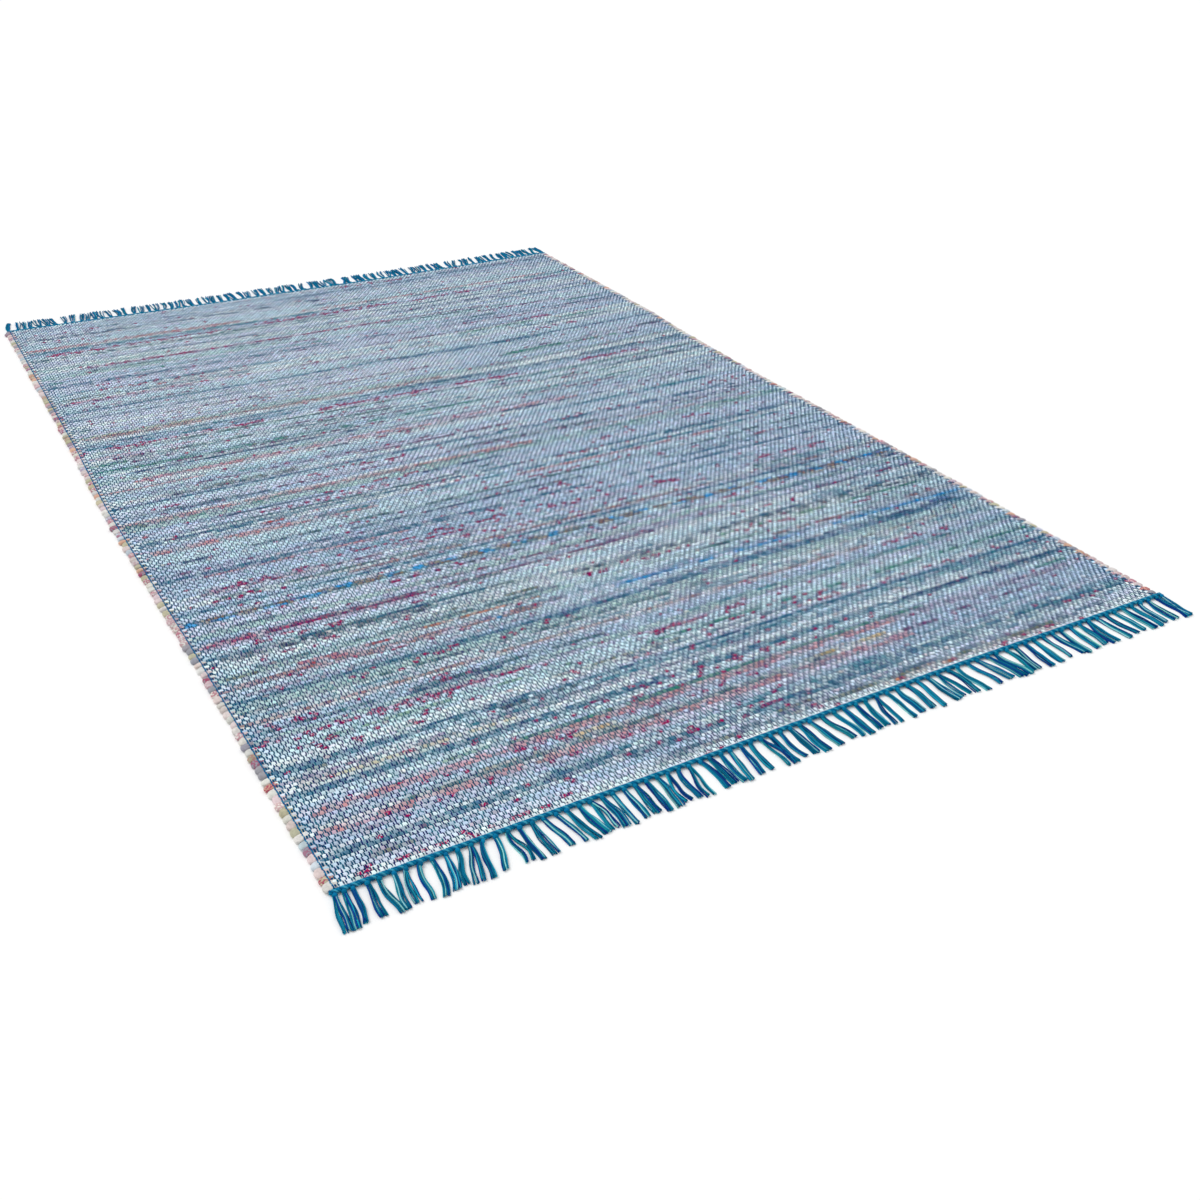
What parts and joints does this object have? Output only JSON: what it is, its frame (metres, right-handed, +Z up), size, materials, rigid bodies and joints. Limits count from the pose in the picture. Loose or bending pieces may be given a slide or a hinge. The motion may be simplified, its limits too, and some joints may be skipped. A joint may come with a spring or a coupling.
{
  "type": "rag rug",
  "caption": "Flat hand-woven rag rug: plain-woven striped rag cloth with looped sides, a twined header and a knotted warp fringe at each end.",
  "frame": {"origin": "on the floor under the middle of the rug, fringes included", "axes": "+X across the rug to the right, +Y along the rug from the near fringe to the far fringe, +Z up out of the rug's upper face"},
  "size_m": [1.2246, 1.9322, 0.005],
  "materials": {
    "rag_cloth": "matte plain weave of mixed pale blue, white, salmon, green and navy cotton rags on a dark blue and teal cotton warp",
    "warp_cotton": "matte twisted cotton warp yarn in royal blue, teal and aqua"
  },
  "bodies": {
    "root": {"rag_cloth": "rag_cloth", "fringe_near": "warp_cotton", "fringe_far": "warp_cotton"}
  },
  "joints": []
}
